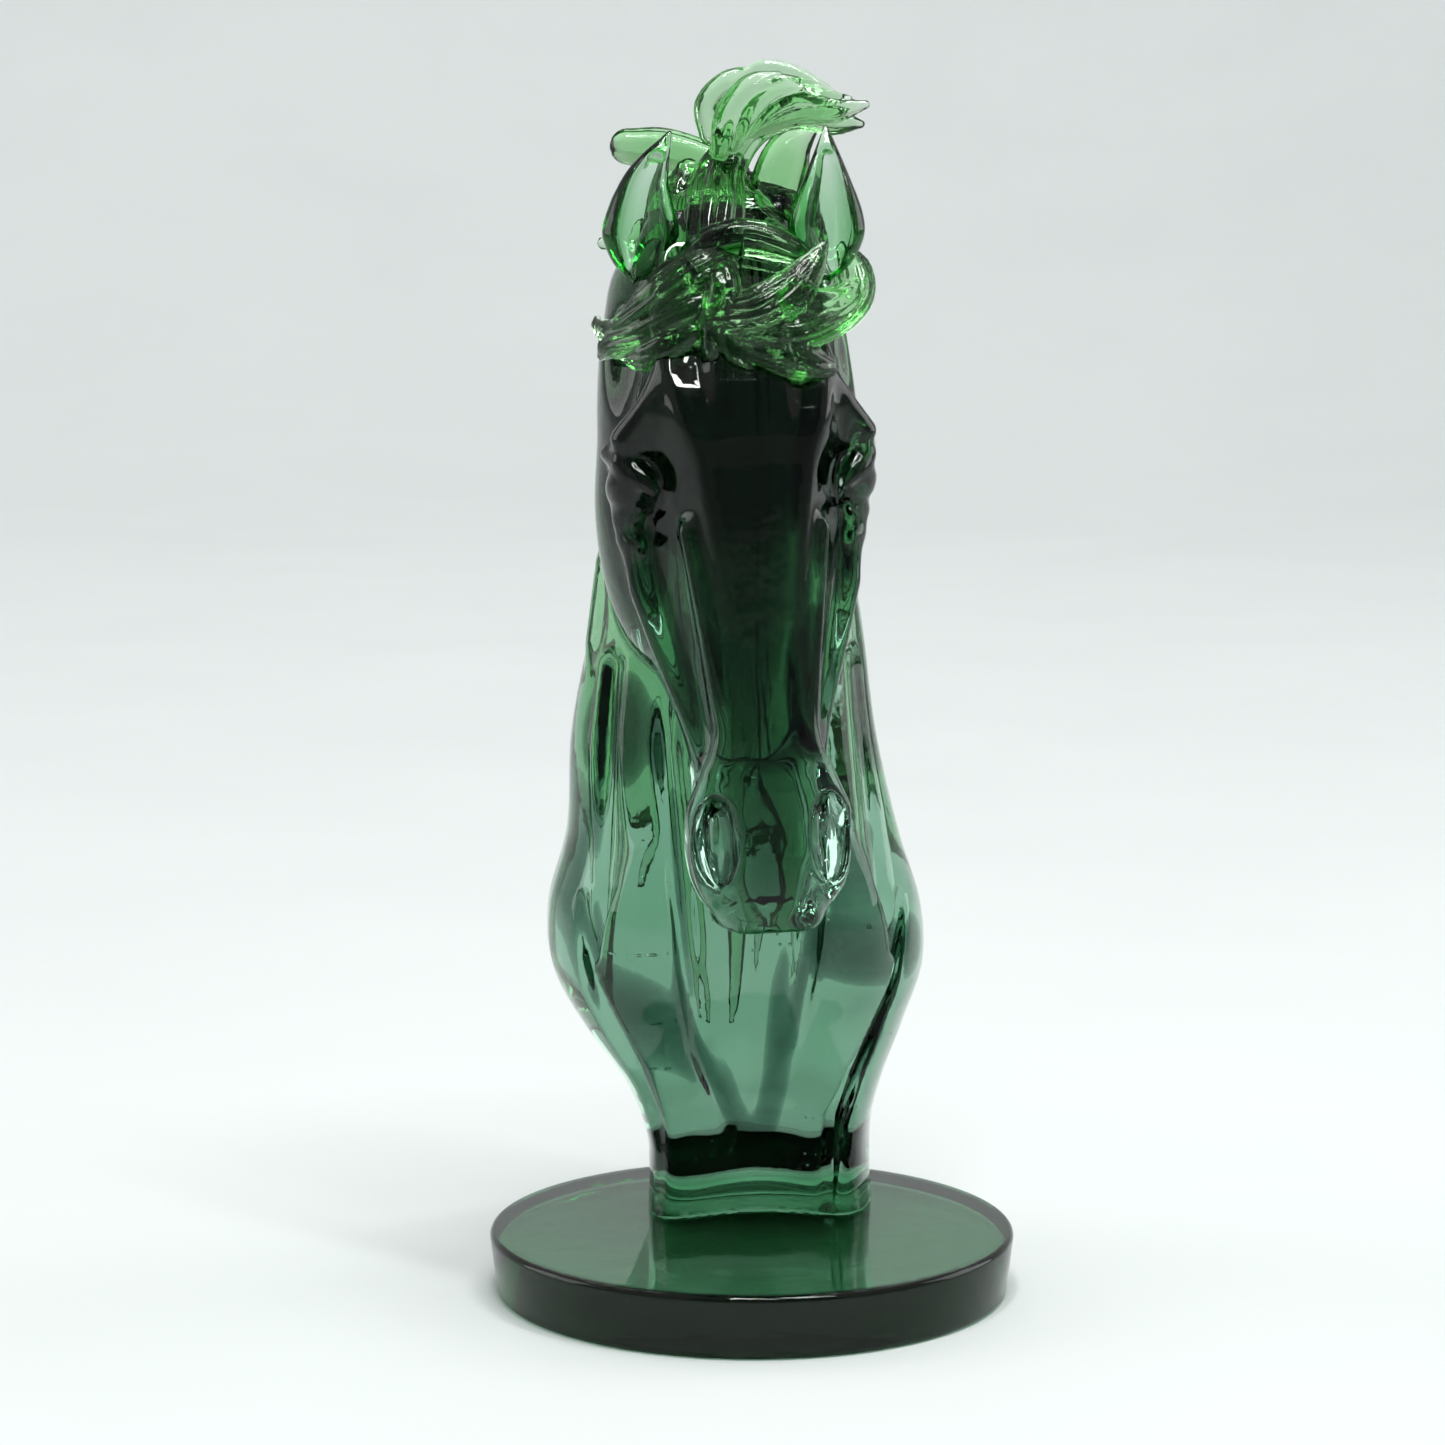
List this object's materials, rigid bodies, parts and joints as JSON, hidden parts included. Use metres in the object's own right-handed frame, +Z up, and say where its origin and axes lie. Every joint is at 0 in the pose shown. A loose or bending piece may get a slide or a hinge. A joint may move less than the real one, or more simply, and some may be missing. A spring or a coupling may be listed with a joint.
{
  "type": "horse head figurine",
  "caption": "Free-standing table ornament: a horse's head and neck cast in clear green resin, with ears, forelock and mane, on a round plinth.",
  "frame": {"origin": "middle of the plinth's flat underside, which rests on the surface", "axes": "+Z up; the chest faces -Y and the head looks towards -Y, turned a little to +X"},
  "size_m": [0.1, 0.103, 0.2321],
  "materials": {
    "deep_resin": "clear cast resin, deep green, polished",
    "leaf_resin": "clear cast resin, leaf green where it is thin, polished"
  },
  "bodies": {
    "root": {"base_disc": "deep_resin", "horse_bust": "deep_resin", "ear_left": "leaf_resin", "ear_right": "leaf_resin", "forelock_left": "leaf_resin", "forelock_right": "leaf_resin", "crest_curl": "leaf_resin", "side_lock": "leaf_resin", "mane": "leaf_resin"}
  },
  "joints": []
}
